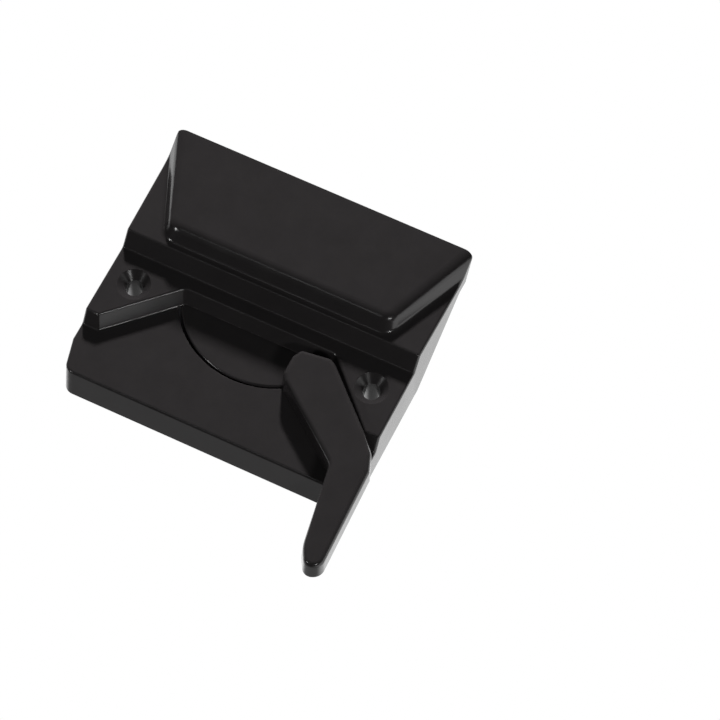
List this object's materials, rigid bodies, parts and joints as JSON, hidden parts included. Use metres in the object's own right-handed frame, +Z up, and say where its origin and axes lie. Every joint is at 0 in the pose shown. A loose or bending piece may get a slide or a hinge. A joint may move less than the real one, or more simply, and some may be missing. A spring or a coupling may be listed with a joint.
{
  "type": "gravity gate latch",
  "caption": "Post half of a gravity gate latch: hooded housing with a sunk lever that swings on a rotor disc and holds the gate's striker bar.",
  "frame": {"origin": "where the rotor's axis meets the mounting plane on the post", "axes": "+X towards the gate (the hood's mouth), -Y out of the post (the front, with the lever), +Z up; the mounting plane is y = 0"},
  "size_m": [0.1059, 0.0237, 0.098],
  "materials": {
    "black_housing": "semi-gloss black powder coat",
    "black_rotor": "semi-gloss black powder coat",
    "black_lever": "semi-gloss black powder coat",
    "zinc_plate": "zinc-plated sheet steel",
    "zinc_screw": "bright zinc plating",
    "stainless": "turned stainless steel",
    "hardened_steel": "hardened and ground steel",
    "spring_steel": "oiled spring steel",
    "rubber": "matt black rubber",
    "acetal": "natural white acetal"
  },
  "bodies": {
    "post_half": {"housing": "black_housing", "back_plate": "zinc_plate", "back_plate_screws": "zinc_screw", "pivot_pin": "stainless", "rear_thrust_washer": "acetal", "front_thrust_washer": "acetal", "wave_washer": "spring_steel", "striker_buffer": "rubber"},
    "rotor": {"rotor_disc": "black_rotor", "hub_bush": "acetal", "catch": "hardened_steel", "catch_rivets": "stainless", "lever_arm": "black_lever", "lever_screw": "zinc_screw", "lever_dowels": "stainless"}
  },
  "joints": [
    {"name": "lever_swing", "type": "hinge", "parent": "post_half", "child": "rotor", "pos_m": [0, 0, 0], "axis": [0, 1, 0], "range_deg": [0, 87]}
  ]
}
